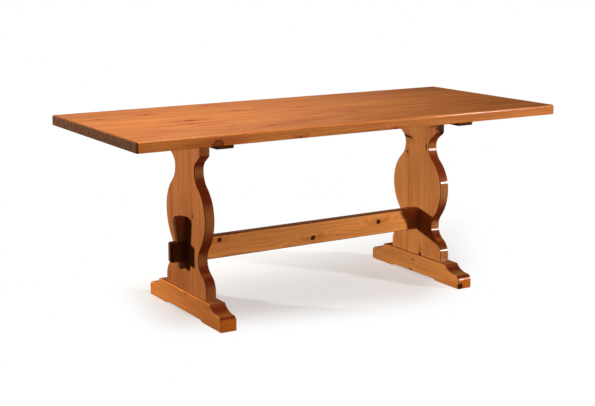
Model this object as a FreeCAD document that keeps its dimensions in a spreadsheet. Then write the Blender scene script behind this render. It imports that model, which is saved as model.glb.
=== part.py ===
import FreeCAD, Part
import os

import Sketcher
from FreeCAD import Placement, Rotation, Vector

# A refectory table: a top of glued boards on two vase-shaped trestles, tied
# together by one stretcher whose through tenons are locked by tapered wedges.
# Each upright is glued up from three boards and stub-tenoned into its foot and
# into the batten that carries the top.
# Millimetres, +Z up, +X along the table's length, -Y towards the front. The
# origin is on the floor under the middle of the top. The table's height, less
# the foot, the batten and the top, is the height of the uprights, and the
# stations of their outline share it out.

SIZES = [
    ("table_height", 800, "from the floor to the top's upper face"),
    ("top_length", 2000, "length of the top"),
    ("top_width", 870, "width of the top"),
    ("top_thickness", 42, "thickness of the top's boards"),
    ("top_board_count", 5, "boards glued edge to edge in the top"),
    ("top_corner_radius", 10, "rounding of the top's four corners, seen from above"),
    ("top_edge_radius", 7, "rounding of the top's upper arris"),
    ("top_under_chamfer", 3, "chamfer on the top's lower arris"),
    ("trestle_spacing", 1176, "between the middle planes of the two trestles"),
    ("trestle_offset", 8, "how far the trestles stand off the top's middle, towards +X"),
    ("foot_length", 660, "length of a foot, front to back"),
    ("foot_width", 70, "width of a foot"),
    ("foot_height", 90, "height of a foot at its flat top"),
    ("foot_flat_length", 472, "flat stretch on top of a foot"),
    ("foot_step_run", 8, "small step at the end of the flat, along the foot"),
    ("foot_step_drop", 11, "small step at the end of the flat, downwards"),
    ("foot_nose_height", 58, "height of the foot's rounded nose"),
    ("foot_nose_radius", 22, "radius of the foot's rounded nose"),
    ("foot_pad_length", 160, "length of the pad under each end of a foot"),
    ("foot_relief_ramp", 22, "slope between a pad and the relief under the foot"),
    ("foot_relief_depth", 7, "depth of the relief under the foot"),
    ("upright_thickness", 44, "thickness of the uprights' boards"),
    ("centre_board_width", 124, "width of the upright's middle board"),
    ("base_width", 368, "width of the upright where it stands on the foot"),
    ("waist_width", 226, "width of the upright at its waist"),
    ("belly_width", 356, "width of the upright at its belly"),
    ("neck_width", 176, "width of the upright at its neck"),
    ("head_width", 284, "width of the upright under the batten"),
    ("collar_corner_radius", 9, "rounding of the corner below the head"),
    ("batten_width", 76, "width of the batten under the top"),
    ("batten_thickness", 34, "thickness of the batten"),
    ("batten_length", 636, "length of the batten, front to back"),
    ("arris_chamfer", 2, "chamfer on the trestles' arrises"),
    ("stretcher_rise", 123, "from the top of a foot to the stretcher's lower edge"),
    ("stretcher_height", 96, "height of the stretcher"),
    ("stretcher_thickness", 44, "thickness of the stretcher"),
    ("stretcher_arris_radius", 4, "rounding of the stretcher's long arrises"),
    ("tenon_height", 82, "height of a tenon"),
    ("tenon_thickness", 30, "thickness of a tenon"),
    ("tenon_projection", 74, "tenon length outside the upright"),
    ("tenon_chamfer", 6, "chamfer round a tenon's end"),
    ("mortise_clearance", 0.3, "play round a tenon in its mortise"),
    ("wedge_length", 220, "length of a wedge"),
    ("wedge_thickness", 22, "thickness of a wedge"),
    ("wedge_tip_width", 28, "width of a wedge at its lower end"),
    ("wedge_butt_width", 52, "width of a wedge at its upper end"),
    ("wedge_drop", 33, "wedge length that shows below the tenon"),
    ("wedge_butt_radius", 16, "rounding of the wedge's upper corners"),
    ("wedge_arris_chamfer", 1, "chamfer on the wedge's arrises"),
    ("wedge_clearance", 0.3, "play between a wedge and the upright and slot"),
    ("slot_relief", 6, "how far the wedge's slot reaches inside the upright"),
    ("stub_tenon_thickness", 18, "thickness of the stub tenons at the upright's ends"),
    ("foot_tenon_depth", 32, "length of the stub tenon in the foot"),
    ("foot_tenon_shoulder", 42, "from the upright's edge to the stub tenon in the foot"),
    ("head_tenon_depth", 22, "length of the stub tenon in the batten"),
    ("head_tenon_shoulder", 34, "from the upright's edge to the stub tenon in the batten"),
    ("glue_gap", 0.1, "gap beside a glued stub tenon"),
    ("mortise_end_gap", 2, "room past the end of a stub tenon"),
    ("screw_length", 58, "length of a screw through the batten"),
    ("screw_diameter", 6, "shank diameter of a screw"),
    ("screw_head_diameter", 12, "diameter of a screw's countersunk head"),
    ("screw_hole_clearance", 0.3, "play round a screw in the batten"),
    ("screw_inner_place", 200, "from the middle of the batten to its inner screws"),
    ("screw_pitch", 88, "from an inner to an outer screw"),
    ("cut_overrun", 4, "how far a cut runs past the wood"),
]

# The stations of the upright's outline, as shares of its height: the top of the
# edge that rises straight off the foot, the waist, the belly, the neck and the
# corner below the straight head.
BASE_SHARE = 0.05
WAIST_SHARE = 0.236
BELLY_SHARE = 0.511
NECK_SHARE = 0.808
COLLAR_SHARE = 0.91

# Where each S-shaped stretch of the upright's edge changes from one arc to the
# next, as a share of its rise.
FLARE_TURN_SHARE = 0.53
HIP_TURN_SHARE = 0.28
CHEST_TURN_SHARE = 0.65

# The end of the cove between the neck and the collar, as shares of the way out
# and of the rise between the two; the edge runs on straight from there.
COVE_RUN_SHARE = 0.38
COVE_RISE_SHARE = 0.625

# Two lengths count as one when they differ by less than this share of the top's length.
SAME_SHARE = 1e-6

SCREWS_PER_SIDE = 2

doc = FreeCAD.newDocument("RefectoryTable")
sheet = doc.addObject("Spreadsheet::Sheet", "Sizes")
for row, (alias, value, meaning) in enumerate(SIZES, start=1):
    sheet.set(f"A{row}", meaning)
    sheet.set(f"B{row}", str(value))
    sheet.setAlias(f"B{row}", alias)
doc.recompute()


def number(expression):
    """Work out an expression of the named sizes as a plain number."""
    return float(sheet.evalExpression(expression))


# Heights above the floor, as expressions of the sheet.
FOOT_TOP = "Sizes.foot_height"
TOP_UNDERSIDE = "Sizes.table_height - Sizes.top_thickness"
HEAD_TOP = f"{TOP_UNDERSIDE} - Sizes.batten_thickness"
STRETCHER_BOTTOM = f"{FOOT_TOP} + Sizes.stretcher_rise"
STRETCHER_TOP = f"{STRETCHER_BOTTOM} + Sizes.stretcher_height"
STRETCHER_MIDDLE = f"{STRETCHER_BOTTOM} + Sizes.stretcher_height / 2"
TENON_BOTTOM = f"{STRETCHER_MIDDLE} - Sizes.tenon_height / 2"
TENON_TOP = f"{STRETCHER_MIDDLE} + Sizes.tenon_height / 2"
WEDGE_BOTTOM = f"{TENON_BOTTOM} - Sizes.wedge_drop"


def station(share):
    """Give the level of a station of the upright's outline."""
    return f"{FOOT_TOP} + {share} * ({HEAD_TOP} - {FOOT_TOP})"


BASE_LEVEL = station(BASE_SHARE)
WAIST_LEVEL = station(WAIST_SHARE)
BELLY_LEVEL = station(BELLY_SHARE)
NECK_LEVEL = station(NECK_SHARE)
COLLAR_LEVEL = station(COLLAR_SHARE)

# Half widths of the upright and of the stub tenons at its ends.
OUTER_FACE = "Sizes.upright_thickness / 2"
JOINT_LINE = "Sizes.centre_board_width / 2"
FOOT_TENON_END = "(Sizes.base_width / 2 - Sizes.foot_tenon_shoulder)"
HEAD_TENON_END = "(Sizes.head_width / 2 - Sizes.head_tenon_shoulder)"


def trestle_plane(sign):
    """Give the place along X of the left (-1) or right (+1) trestle's middle plane."""
    return f"Sizes.trestle_offset + {sign} * Sizes.trestle_spacing / 2"


def screw_places():
    """Give the places of the screws along a batten."""
    places = []
    for step in range(SCREWS_PER_SIDE):
        place = f"(Sizes.screw_inner_place + {step} * Sizes.screw_pitch)"
        places += [f"-{place}", place]
    return places


# Bodies, sketches and features.

def new_body(name, x=None, y=None, z=None, turned=False):
    """Make an empty body and bind its placement to expressions."""
    body = doc.addObject("PartDesign::Body", name)
    body.Label = name
    body.Placement = Placement(Vector(), Rotation(Vector(0, 0, 1), 180 if turned else 0))
    for axis, expression in (("x", x), ("y", y), ("z", z)):
        if expression:
            body.setExpression(f".Placement.Base.{axis}", expression)
    return body


def origin_item(body, role):
    """Find a plane or an axis of the body's own origin."""
    return next(item for item in body.Origin.OriginFeatures if item.Role == role)


def new_sketch(body, name, role, across=None, lift=None):
    """Attach a sketch to one of the body's own planes, moved by expressions."""
    sketch = body.newObject("Sketcher::SketchObject", name)
    sketch.AttachmentSupport = [(origin_item(body, role), "")]
    sketch.MapMode = "FlatFace"
    for axis, expression in (("x", across), ("z", lift)):
        if expression:
            sketch.setExpression(f".AttachmentOffset.Base.{axis}", expression)
    return sketch


def bind(sketch, constraint, expression):
    """Add a dimension to a sketch and bind it to an expression."""
    index = sketch.addConstraint(constraint)
    sketch.setExpression(f"Constraints[{index}]", expression)


def pin(sketch, geometry, point, across=None, up=None):
    """Hold a point of a sketch at expressions measured from the sketch's origin.

    A point is the sketcher's own number: 1 a stretch's first end, 2 its last, 3 its
    centre. The sketcher counts the axis across as -1 and the axis up as -2.
    """
    for kind, axis, expression in (("DistanceX", -2, across), ("DistanceY", -1, up)):
        if expression == "0":
            sketch.addConstraint(Sketcher.Constraint("PointOnObject", geometry, point, axis))
        elif expression:
            held = Sketcher.Constraint(kind, -1, 1, geometry, point, number(expression))
            bind(sketch, held, expression)


def arc_between(start, finish, across, up):
    """Make the shorter arc between two points and say whether it runs from start to finish.

    The centre lies on the line across or up that is given; the arc's ends settle the rest.
    """
    chord = finish - start
    middle = (start + finish) / 2
    if up:
        level = number(up)
        centre = Vector(middle.x - (level - middle.y) * chord.y / chord.x, level, 0)
    else:
        place = number(across)
        centre = Vector(place, middle.y - (place - middle.x) * chord.x / chord.y, 0)
    circle = Part.Circle(centre, Vector(0, 0, 1), (start - centre).Length)
    first, last = circle.parameter(start), circle.parameter(finish)
    if (start - centre).cross(finish - centre).z > 0:
        return Part.ArcOfCircle(circle, first, last), True
    return Part.ArcOfCircle(circle, last, first), False


def draw_outline(sketch, corners, centres=None):
    """Draw a closed outline of lines and arcs, fully bound to expressions.

    corners: (across, up) in order. centres: for each stretch that is an arc, the
    number of its first corner and its centre's (across, up), one of them None.
    """
    centres = centres or {}
    points = [Vector(number(across), number(up), 0) for across, up in corners]
    stretches = []
    for index, start in enumerate(points):
        finish = points[(index + 1) % len(points)]
        if index in centres:
            shape, forward = arc_between(start, finish, *centres[index])
        else:
            shape, forward = Part.LineSegment(start, finish), True
        first, last = (1, 2) if forward else (2, 1)
        stretches.append((sketch.addGeometry(shape, False), first, last))
    for index, (geometry, first, last) in enumerate(stretches):
        after, after_first, _ = stretches[(index + 1) % len(stretches)]
        sketch.addConstraint(Sketcher.Constraint("Coincident", geometry, last, after, after_first))
        pin(sketch, geometry, first, *corners[index])
        if index in centres:
            pin(sketch, geometry, 3, *centres[index])


def draw_box(sketch, left, right, low, high):
    """Draw a rectangle between four expressions."""
    draw_outline(sketch, [(left, low), (right, low), (right, high), (left, high)])


def draw_circles(sketch, places, radius):
    """Draw equal circles at (across, up) expressions."""
    for across, up in places:
        centre = Vector(number(across), number(up), 0)
        circle = Part.Circle(centre, Vector(0, 0, 1), number(radius))
        geometry = sketch.addGeometry(circle, False)
        pin(sketch, geometry, 3, across, up)
        bind(sketch, Sketcher.Constraint("Radius", geometry, number(radius)), radius)


def pad(body, sketch, name, length):
    """Pad a sketch to both sides of its plane."""
    feature = body.newObject("PartDesign::Pad", name)
    feature.Profile = sketch
    feature.Midplane = True
    feature.setExpression("Length", length)
    doc.recompute()
    return feature


def pocket(body, sketch, name, length, midplane=False, upwards=False):
    """Cut a sketch out of the body and make sure that it takes wood away."""
    before = body.Shape.Volume
    feature = body.newObject("PartDesign::Pocket", name)
    feature.Profile = sketch
    feature.Midplane = midplane
    feature.Reversed = upwards
    feature.setExpression("Length", length)
    doc.recompute()
    if not body.Shape.Volume < before:
        raise RuntimeError(f"{body.Label}: {name} cuts nothing")
    return feature


def same(value, target):
    """Tell whether two lengths are the same, for a part of this size."""
    return abs(value - target) < SAME_SHARE * number("Sizes.top_length")


def edges_where(shape, test):
    """Name the edges of a shape that pass a test of their middle point and of themselves."""
    names = []
    for index, edge in enumerate(shape.Edges, start=1):
        middle = edge.valueAt((edge.FirstParameter + edge.LastParameter) / 2)
        if test(middle, edge):
            names.append(f"Edge{index}")
    return names


def dress_edges(body, name, kind, value, test):
    """Fillet or chamfer the edges of the body's last feature that pass a test."""
    base = body.Tip
    names = edges_where(base.Shape, test)
    if not names:
        raise RuntimeError(f"{body.Label}: {name} finds no edge")
    feature = body.newObject(f"PartDesign::{kind}", name)
    feature.Base = (base, names)
    feature.setExpression("Radius" if kind == "Fillet" else "Size", value)
    doc.recompute()
    return feature


def drill(body, name, level, depth, places, radius, upwards):
    """Drill holes into the body from a level, upwards or downwards."""
    sketch = new_sketch(body, f"{name}Sketch", "XY_Plane", lift=level)
    draw_circles(sketch, places, radius)
    return pocket(body, sketch, name, depth, upwards=upwards)


def cut_mortise(body, level, depth, tenon_end, upwards):
    """Cut the mortise for a stub tenon into a foot or a batten, from a level."""
    sketch = new_sketch(body, "MortiseSketch", "XY_Plane", lift=level)
    cheek = "(Sizes.stub_tenon_thickness / 2 + Sizes.glue_gap)"
    end = f"({tenon_end} + Sizes.glue_gap)"
    draw_box(sketch, f"-{cheek}", cheek, f"-{end}", end)
    return pocket(body, sketch, "Mortise", f"{depth} + Sizes.mortise_end_gap", upwards=upwards)


# The top.

def build_top_board(index, count):
    """Build one board of the top, rounded at its ends and along the top's own sides."""
    board_width = "Sizes.top_width / Sizes.top_board_count"
    place = f"({index} - (Sizes.top_board_count - 1) / 2) * {board_width}"
    body = new_body(f"top_board_{index + 1}", y=place, z=TOP_UNDERSIDE)
    sketch = new_sketch(body, "BoardSketch", "YZ_Plane")
    half = f"{board_width} / 2"
    draw_box(sketch, f"-{half}", half, "0", "Sizes.top_thickness")
    pad(body, sketch, "Board", "Sizes.top_length")
    drill_pilot_holes(body, place, half)
    free_side = {0: -1, count - 1: 1}.get(index, 0)
    end, side = number("Sizes.top_length / 2"), number(half)
    corner_start = side - number("Sizes.top_corner_radius")

    def is_corner(point, edge):
        upright = same(point.z, number("Sizes.top_thickness / 2"))
        return upright and same(abs(point.x), end) and same(point.y * free_side, side)

    def is_rim(point):
        return same(abs(point.x), end) or point.y * free_side > corner_start

    def is_upper_rim(point, edge):
        return same(point.z, number("Sizes.top_thickness")) and is_rim(point)

    def is_lower_rim(point, edge):
        return same(point.z, 0) and is_rim(point)

    if free_side:
        dress_edges(body, "Corners", "Fillet", "Sizes.top_corner_radius", is_corner)
    dress_edges(body, "UpperArris", "Fillet", "Sizes.top_edge_radius", is_upper_rim)
    dress_edges(body, "LowerArris", "Chamfer", "Sizes.top_under_chamfer", is_lower_rim)
    return body


def drill_pilot_holes(body, board_place, half_width):
    """Drill the pilot holes of the battens' screws that reach a board of the top."""
    middle = number(board_place)
    reach = number(f"{half_width} + Sizes.screw_diameter / 2")
    spots = []
    for place in screw_places():
        if abs(number(place) - middle) < reach:
            spots += [(trestle_plane(sign), f"{place} - ({board_place})") for sign in (-1, 1)]
    if spots:
        depth = "Sizes.screw_length - Sizes.batten_thickness"
        drill(body, "PilotHoles", None, depth, spots, "Sizes.screw_diameter / 2", True)


# The trestles. Each body stands in its trestle's middle plane, which is its own
# X = 0; the left trestle's bodies are turned by half a turn, so +X points outwards.

def trestle_body(name, sign, level=None):
    """Make an empty body in the middle plane of a trestle, at a height."""
    return new_body(name, x=trestle_plane(sign), z=level, turned=sign < 0)


def build_foot(side, sign):
    """Build a foot with moulded ends and a shallow relief between two pads."""
    body = trestle_body(f"{side}_foot", sign)
    end = "Sizes.foot_length / 2"
    flat = "Sizes.foot_flat_length / 2"
    nose = f"{end} - Sizes.foot_nose_radius"
    pad_edge = f"{end} - Sizes.foot_pad_length"
    back_half = [
        (f"{pad_edge} - Sizes.foot_relief_ramp", "Sizes.foot_relief_depth"),
        (pad_edge, "0"),
        (end, "0"),
        (end, "Sizes.foot_nose_height - Sizes.foot_nose_radius"),
        (nose, "Sizes.foot_nose_height"),
        (f"{flat} + Sizes.foot_step_run", "Sizes.foot_height - Sizes.foot_step_drop"),
        (flat, "Sizes.foot_height"),
    ]
    front_half = [(f"-({across})", up) for across, up in reversed(back_half)]
    back_centre, front_centre = (nose, None), (f"-({nose})", None)
    arcs = {3: back_centre, 4: back_centre, 8: front_centre, 9: front_centre}
    sketch = new_sketch(body, "FootSketch", "YZ_Plane")
    draw_outline(sketch, back_half + front_half, arcs)
    pad(body, sketch, "Foot", "Sizes.foot_width")
    cut_mortise(body, FOOT_TOP, "Sizes.foot_tenon_depth", FOOT_TENON_END, False)
    cheek, relief = number("Sizes.foot_width / 2"), number("Sizes.foot_relief_depth")

    def is_arris(point, edge):
        underside = point.z < relief or same(point.z, relief)
        return same(abs(point.x), cheek) and not underside

    dress_edges(body, "Arrises", "Chamfer", "Sizes.arris_chamfer", is_arris)
    return body


def add_stub_tenons(body, foot_span, head_span):
    """Add a board's share of the stub tenons that enter the foot and the batten."""
    sketch = new_sketch(body, "FootTenonSketch", "YZ_Plane")
    draw_box(sketch, *foot_span, f"{FOOT_TOP} - Sizes.foot_tenon_depth", FOOT_TOP)
    pad(body, sketch, "FootTenon", "Sizes.stub_tenon_thickness")
    sketch = new_sketch(body, "HeadTenonSketch", "YZ_Plane")
    draw_box(sketch, *head_span, HEAD_TOP, f"{HEAD_TOP} + Sizes.head_tenon_depth")
    pad(body, sketch, "HeadTenon", "Sizes.stub_tenon_thickness")


def build_centre_board(side, sign):
    """Build the upright's middle board with the mortise for the stretcher's tenon."""
    body = trestle_body(f"{side}_upright_centre_board", sign)
    sketch = new_sketch(body, "BoardSketch", "YZ_Plane")
    draw_box(sketch, f"-{JOINT_LINE}", JOINT_LINE, FOOT_TOP, HEAD_TOP)
    pad(body, sketch, "Board", "Sizes.upright_thickness")
    sketch = new_sketch(body, "MortiseSketch", "YZ_Plane")
    cheek = "(Sizes.tenon_thickness / 2 + Sizes.mortise_clearance)"
    low = f"{TENON_BOTTOM} - Sizes.mortise_clearance"
    high = f"{TENON_TOP} + Sizes.mortise_clearance"
    draw_box(sketch, f"-{cheek}", cheek, low, high)
    pocket(body, sketch, "Mortise", "Sizes.upright_thickness + Sizes.cut_overrun", midplane=True)
    across = (f"-{JOINT_LINE}", JOINT_LINE)
    add_stub_tenons(body, across, across)
    return body


def point_between(first, second, run_share, rise_share):
    """Give a point between two stations of the outline, by shares of the run and of the rise."""
    (across, up), (to_across, to_up) = first, second
    run = f"{run_share} * ({to_across} - {across})"
    rise = f"{rise_share} * ({to_up} - ({up}))"
    return (f"{across} + {run}", f"{up} + {rise}")


def turn_point(first, second, share):
    """Give the point between two stations of the outline where its arcs meet."""
    return point_between(first, second, share, share)


def build_outer_board(place, side, sign, facing):
    """Build an outer board of an upright, sawn to the vase outline on its free edge."""
    body = trestle_body(f"{side}_upright_{place}_board", sign)
    base = ("Sizes.base_width / 2", BASE_LEVEL)
    waist = ("Sizes.waist_width / 2", WAIST_LEVEL)
    belly = ("Sizes.belly_width / 2", BELLY_LEVEL)
    neck = ("Sizes.neck_width / 2", NECK_LEVEL)
    collar_corner = ("Sizes.head_width / 2", COLLAR_LEVEL)
    corners = [
        (JOINT_LINE, FOOT_TOP),
        ("Sizes.base_width / 2", FOOT_TOP),
        base,
        turn_point(base, waist, FLARE_TURN_SHARE),
        waist,
        turn_point(waist, belly, HIP_TURN_SHARE),
        belly,
        turn_point(belly, neck, CHEST_TURN_SHARE),
        neck,
        point_between(neck, collar_corner, COVE_RUN_SHARE, COVE_RISE_SHARE),
        collar_corner,
        ("Sizes.head_width / 2", HEAD_TOP),
        (JOINT_LINE, HEAD_TOP),
    ]
    first_arc = corners.index(base)
    levels = [BASE_LEVEL, WAIST_LEVEL, WAIST_LEVEL, BELLY_LEVEL, BELLY_LEVEL, NECK_LEVEL, NECK_LEVEL]
    arcs = {index: (None, level) for index, level in enumerate(levels, start=first_arc)}
    foot_span, head_span = (JOINT_LINE, FOOT_TENON_END), (JOINT_LINE, HEAD_TENON_END)
    if facing < 0:
        corners = [(f"-({across})", up) for across, up in corners]
        foot_span = [f"-{across}" for across in foot_span]
        head_span = [f"-{across}" for across in head_span]
    sketch = new_sketch(body, "BoardSketch", "YZ_Plane")
    draw_outline(sketch, corners, arcs)
    pad(body, sketch, "Board", "Sizes.upright_thickness")
    add_stub_tenons(body, foot_span, head_span)
    head, collar = number("Sizes.head_width / 2"), number(COLLAR_LEVEL)
    cheek, joint = number(OUTER_FACE), number(JOINT_LINE)
    ends = (number(FOOT_TOP), number(HEAD_TOP))

    def is_collar_corner(point, edge):
        return same(abs(point.y), head) and same(point.z, collar)

    def is_sawn_arris(point, edge):
        glued = same(abs(point.y), joint) or any(same(point.z, end) for end in ends)
        return same(abs(point.x), cheek) and not glued

    dress_edges(body, "CollarCorner", "Fillet", "Sizes.collar_corner_radius", is_collar_corner)
    dress_edges(body, "Arrises", "Chamfer", "Sizes.arris_chamfer", is_sawn_arris)
    return body


def build_batten(side, sign):
    """Build the batten that carries the top on one trestle, mortised and drilled."""
    body = trestle_body(f"{side}_batten", sign, HEAD_TOP)
    end = "Sizes.batten_length / 2"
    sketch = new_sketch(body, "BattenSketch", "YZ_Plane")
    draw_box(sketch, f"-{end}", end, "0", "Sizes.batten_thickness")
    pad(body, sketch, "Batten", "Sizes.batten_width")
    cut_mortise(body, None, "Sizes.head_tenon_depth", HEAD_TENON_END, True)
    spots = [("0", place) for place in screw_places()]
    radius = "Sizes.screw_diameter / 2 + Sizes.screw_hole_clearance"
    drill(body, "ScrewHoles", None, "Sizes.batten_thickness", spots, radius, True)
    hole, half_width, half_length = number(radius), number("Sizes.batten_width / 2"), number(end)

    def is_hole_mouth(point, edge):
        round_edge = isinstance(edge.Curve, Part.Circle)
        return round_edge and same(point.z, 0) and same(edge.Curve.Radius, hole)

    def is_arris(point, edge):
        return same(point.z, 0) and (same(abs(point.x), half_width) or same(abs(point.y), half_length))

    sink = "(Sizes.screw_head_diameter - Sizes.screw_diameter) / 2"
    dress_edges(body, "Countersinks", "Chamfer", sink, is_hole_mouth)
    dress_edges(body, "Arrises", "Chamfer", "Sizes.arris_chamfer", is_arris)
    return body


def build_screws(side, sign):
    """Build the countersunk screws that hold one batten to the top."""
    body = trestle_body(f"{side}_batten_screws", sign, HEAD_TOP)
    sketch = new_sketch(body, "ScrewSketch", "YZ_Plane", across="Sizes.screw_inner_place")
    head, shank = "Sizes.screw_head_diameter / 2", "Sizes.screw_diameter / 2"
    draw_outline(sketch, [
        ("0", "0"),
        (head, "0"),
        (shank, f"{head} - {shank}"),
        (shank, "Sizes.screw_length"),
        ("0", "Sizes.screw_length"),
    ])
    screw = body.newObject("PartDesign::Revolution", "Screw")
    screw.Profile = sketch
    screw.ReferenceAxis = (sketch, ["V_Axis"])
    doc.recompute()
    screws = body.newObject("PartDesign::MultiTransform", "Screws")
    screws.Originals = [screw]
    pair = body.newObject("PartDesign::LinearPattern", "ScrewPair")
    pair.Direction = (origin_item(body, "Y_Axis"), [""])
    pair.Occurrences = SCREWS_PER_SIDE
    pair.setExpression("Length", f"{SCREWS_PER_SIDE - 1} * Sizes.screw_pitch")
    mirrored = body.newObject("PartDesign::Mirrored", "BothSides")
    mirrored.MirrorPlane = (origin_item(body, "XZ_Plane"), [""])
    screws.Transformations = [pair, mirrored]
    body.Tip = screws
    doc.recompute()
    return body


# The stretcher and its wedges.

def slot_wall(level):
    """Give the sloping outer wall of a wedge's slot at a level, from the trestle's middle plane."""
    taper = "(Sizes.wedge_butt_width - Sizes.wedge_tip_width) / Sizes.wedge_length"
    width = f"Sizes.wedge_tip_width + {taper} * ({level} - ({WEDGE_BOTTOM}))"
    return f"{OUTER_FACE} + 2 * Sizes.wedge_clearance + {width}"


def cut_wedge_slot(body, name, sign):
    """Cut the slot for a wedge through a tenon, with its outer wall on the wedge's slope."""
    below = f"{TENON_BOTTOM} - Sizes.cut_overrun"
    above = f"{TENON_TOP} + Sizes.cut_overrun"
    inner = f"{OUTER_FACE} - Sizes.slot_relief"
    walls = [(inner, below), (slot_wall(below), below), (slot_wall(above), above), (inner, above)]
    sketch = new_sketch(body, f"{name}Sketch", "XZ_Plane")
    plane = "Sizes.trestle_spacing / 2"
    draw_outline(sketch, [(f"{sign} * ({plane} + {wall})", level) for wall, level in walls])
    width = "Sizes.wedge_thickness + 2 * Sizes.wedge_clearance"
    return pocket(body, sketch, name, width, midplane=True)


def build_stretcher():
    """Build the stretcher with a through tenon at each end, slotted for its wedge."""
    body = new_body("stretcher", x="Sizes.trestle_offset")
    cheek = "Sizes.stretcher_thickness / 2"
    sketch = new_sketch(body, "BeamSketch", "YZ_Plane")
    draw_box(sketch, f"-{cheek}", cheek, STRETCHER_BOTTOM, STRETCHER_TOP)
    pad(body, sketch, "Beam", "Sizes.trestle_spacing - Sizes.upright_thickness")

    def is_long(point, edge):
        return same(point.x, 0)

    dress_edges(body, "BeamArrises", "Fillet", "Sizes.stretcher_arris_radius", is_long)
    sketch = new_sketch(body, "TenonSketch", "YZ_Plane")
    cheek = "Sizes.tenon_thickness / 2"
    draw_box(sketch, f"-{cheek}", cheek, TENON_BOTTOM, TENON_TOP)
    reach = "Sizes.trestle_spacing + Sizes.upright_thickness + 2 * Sizes.tenon_projection"
    pad(body, sketch, "Tenons", reach)
    end = number(f"({reach}) / 2")

    def is_tenon_end(point, edge):
        return same(abs(point.x), end)

    dress_edges(body, "TenonEnds", "Chamfer", "Sizes.tenon_chamfer", is_tenon_end)
    for name, sign in (("LeftSlot", -1), ("RightSlot", 1)):
        cut_wedge_slot(body, name, sign)
    return body


def build_wedge(side, sign):
    """Build a wedge that stands in the tenon's slot against the upright's outer face."""
    body = trestle_body(f"{side}_wedge", sign, WEDGE_BOTTOM)
    back = f"{OUTER_FACE} + Sizes.wedge_clearance"
    sketch = new_sketch(body, "WedgeSketch", "XZ_Plane")
    draw_outline(sketch, [
        (back, "0"),
        (f"{back} + Sizes.wedge_tip_width", "0"),
        (f"{back} + Sizes.wedge_butt_width", "Sizes.wedge_length"),
        (back, "Sizes.wedge_length"),
    ])
    pad(body, sketch, "Wedge", "Sizes.wedge_thickness")
    butt, cheek = number("Sizes.wedge_length"), number("Sizes.wedge_thickness / 2")

    def is_butt_corner(point, edge):
        return same(point.z, butt) and same(point.y, 0)

    def is_arris(point, edge):
        return same(abs(point.y), cheek)

    dress_edges(body, "ButtCorners", "Fillet", "Sizes.wedge_butt_radius", is_butt_corner)
    dress_edges(body, "Arrises", "Chamfer", "Sizes.wedge_arris_chamfer", is_arris)
    return body


def build_trestle(side, sign):
    """Build the pieces of one trestle with its screws and wedge."""
    return [
        build_foot(side, sign),
        build_outer_board("front", side, sign, -sign),
        build_centre_board(side, sign),
        build_outer_board("back", side, sign, sign),
        build_batten(side, sign),
        build_screws(side, sign),
        build_wedge(side, sign),
    ]


def check_document():
    """Stop if an object of the document failed or a sketch is left loose."""
    for item in doc.Objects:
        if {"Invalid", "Error"} & set(item.State):
            raise RuntimeError(f"{item.Label} failed: {item.State}")
        if item.isDerivedFrom("Sketcher::SketchObject") and not item.FullyConstrained:
            raise RuntimeError(f"{item.Label} is not fully constrained")


def write_step(piece):
    """Check a piece's shape, print its size and write it to its own file."""
    shape = piece.Shape
    if shape.isNull() or not shape.isValid() or not shape.Solids:
        raise RuntimeError(f"{piece.Label} has no valid solid")
    print(f"{piece.Label}: {len(shape.Solids)} solid(s), {shape.Volume:.0f} mm3")
    shape.exportStep(f"parts/{piece.Label}.step")


board_count = int(number("Sizes.top_board_count"))
pieces = [build_top_board(index, board_count) for index in range(board_count)]
pieces += build_trestle("left", -1)
pieces += build_trestle("right", 1)
pieces.append(build_stretcher())
doc.recompute()
check_document()

os.makedirs("parts", exist_ok=True)
for piece in pieces:
    write_step(piece)
print(f"{len(pieces)} nodes, table height {number('Sizes.table_height'):.1f} mm")
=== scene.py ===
import logging
import math
from collections.abc import Callable, Sequence
from dataclasses import dataclass, replace
from enum import Enum
from functools import partial

import bmesh
import bpy
from mathutils import Matrix, Quaternion, Vector


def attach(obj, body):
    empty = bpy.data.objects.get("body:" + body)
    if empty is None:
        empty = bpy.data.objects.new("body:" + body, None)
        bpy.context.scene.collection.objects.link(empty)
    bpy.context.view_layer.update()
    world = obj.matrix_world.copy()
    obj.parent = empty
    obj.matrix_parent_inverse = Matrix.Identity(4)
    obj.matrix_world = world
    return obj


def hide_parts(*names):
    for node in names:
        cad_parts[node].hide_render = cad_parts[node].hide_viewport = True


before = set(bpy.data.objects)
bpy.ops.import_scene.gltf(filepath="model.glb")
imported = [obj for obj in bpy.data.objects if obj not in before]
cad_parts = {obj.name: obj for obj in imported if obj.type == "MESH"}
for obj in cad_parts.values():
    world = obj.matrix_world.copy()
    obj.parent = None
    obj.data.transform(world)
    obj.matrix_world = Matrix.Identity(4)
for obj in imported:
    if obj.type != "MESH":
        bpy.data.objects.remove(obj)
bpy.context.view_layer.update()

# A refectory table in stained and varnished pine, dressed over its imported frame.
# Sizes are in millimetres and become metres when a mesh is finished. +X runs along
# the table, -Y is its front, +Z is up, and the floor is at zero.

log = logging.getLogger("refectory_table")

Point = tuple[float, float]
Place = tuple[float, float, float]
Socket = bpy.types.NodeSocket
Solid = bmesh.types.BMesh

MM = 0.001
SHARP_ANGLE = math.radians(28)
SMOOTH_ANGLE = math.radians(40)
# Two places nearer than this are the same one.
CLOSE = 0.1
# A cut goes this far past the wood.
OVERRUN = 5.0

# Places that several sub-assemblies share.
TRESTLES_MIDDLE = 8.0
TRESTLES_HALF_SPACING = 588.0
HALF_UPRIGHT = 22.0
HEAD_LEVEL = 724.0
STRETCHER_LEVEL = 261.0
INNER_SCREW = 200.0
SCREW_PITCH = 88.0


class Axis(Enum):
    """An axis of the table, by its number."""

    X = 0
    Y = 1
    Z = 2


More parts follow.
